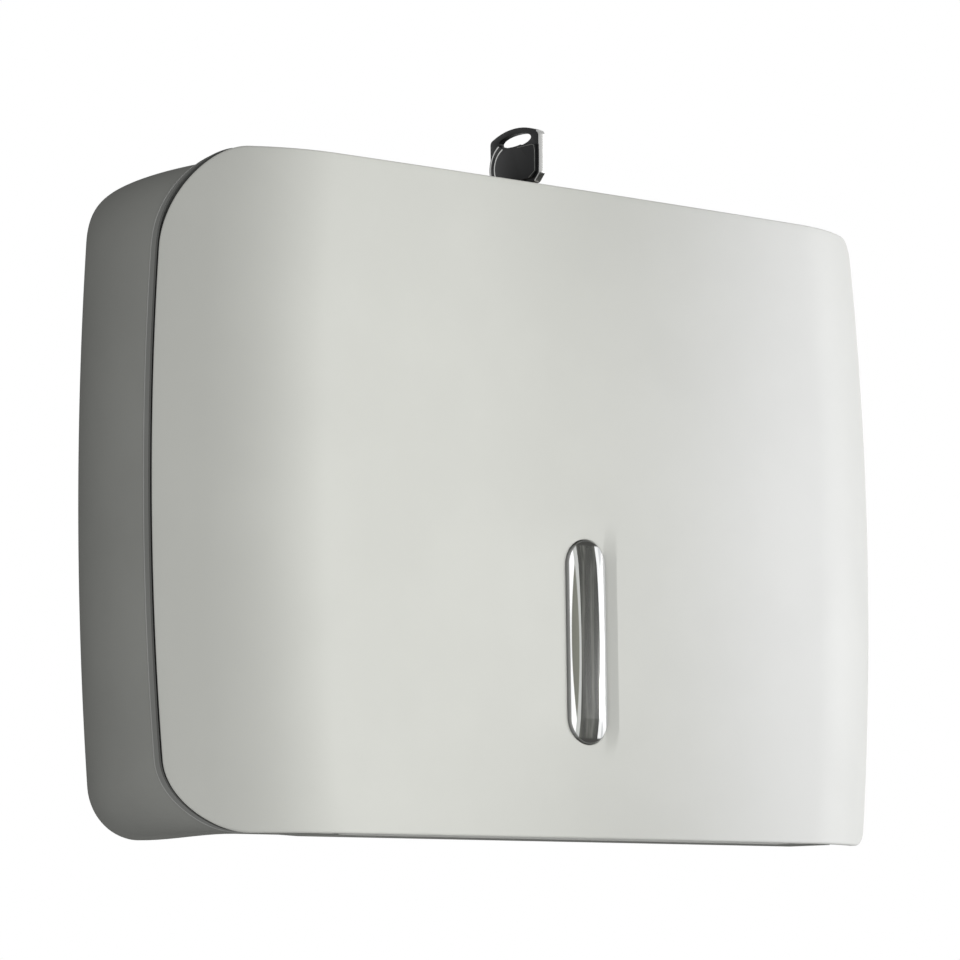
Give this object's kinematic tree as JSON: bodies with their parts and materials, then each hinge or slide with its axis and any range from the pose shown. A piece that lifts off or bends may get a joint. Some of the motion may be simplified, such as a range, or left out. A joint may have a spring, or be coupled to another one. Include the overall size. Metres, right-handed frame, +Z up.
{
  "type": "folded towel dispenser",
  "caption": "Wall-mounted folded paper towel dispenser: wrap-round pale cover hinged at its foot on a grey housing, with a level window, a dispensing slot below and a key lock on top.",
  "frame": {"origin": "on the wall plane, midway between the four wall screws", "axes": "+X along the wall to the right as seen from the front, +Y into the wall, +Z up"},
  "size_m": [0.2922, 0.0938, 0.2243],
  "materials": {
    "cover_plastic": "satin, pale grey",
    "housing_plastic": "fine grain, mid grey",
    "throat_plastic": "fine grain, dark grey",
    "guide_plastic": "fine grain, grey",
    "window_clear": "clear, polished",
    "key_plastic": "satin, black",
    "key_bright": "bright plated",
    "lock_nickel": "satin nickel plate",
    "lock_brass": "turned",
    "steel": "zinc plated"
  },
  "bodies": {
    "housing": {"rear_housing": "housing_plastic", "throat_plate": "throat_plastic", "throat_screws": "steel", "towel_guide_left": "guide_plastic", "towel_guide_right": "guide_plastic", "guide_screws": "steel", "hinge_pin_left": "steel", "hinge_pin_right": "steel", "lock_barrel": "lock_nickel", "lock_washer": "steel", "lock_nut": "lock_nickel"},
    "cover": {"front_cover": "cover_plastic", "level_window": "window_clear", "window_retainer": "cover_plastic", "window_screws": "steel", "latch_catch": "steel", "catch_screws": "steel"},
    "lock_cylinder": {"lock_plug": "lock_brass", "lock_cam": "steel", "cam_screw": "steel"},
    "key": {"key_blade": "lock_nickel", "key_head": "key_plastic", "key_rim": "key_bright"}
  },
  "joints": [
    {"name": "cover_hinge", "type": "hinge", "parent": "housing", "child": "cover", "pos_m": [0, -0.083, -0.0968], "axis": [1, 0, 0], "range_deg": [0, 95]},
    {"name": "lock_turn", "type": "hinge", "parent": "housing", "child": "lock_cylinder", "pos_m": [0, -0.0622, 0.09], "axis": [0, 0, 1], "range_deg": [0, 90]},
    {"name": "key_pull", "type": "slide", "parent": "lock_cylinder", "child": "key", "axis": [0, 0, 1], "range_m": [0, 0.024]}
  ]
}
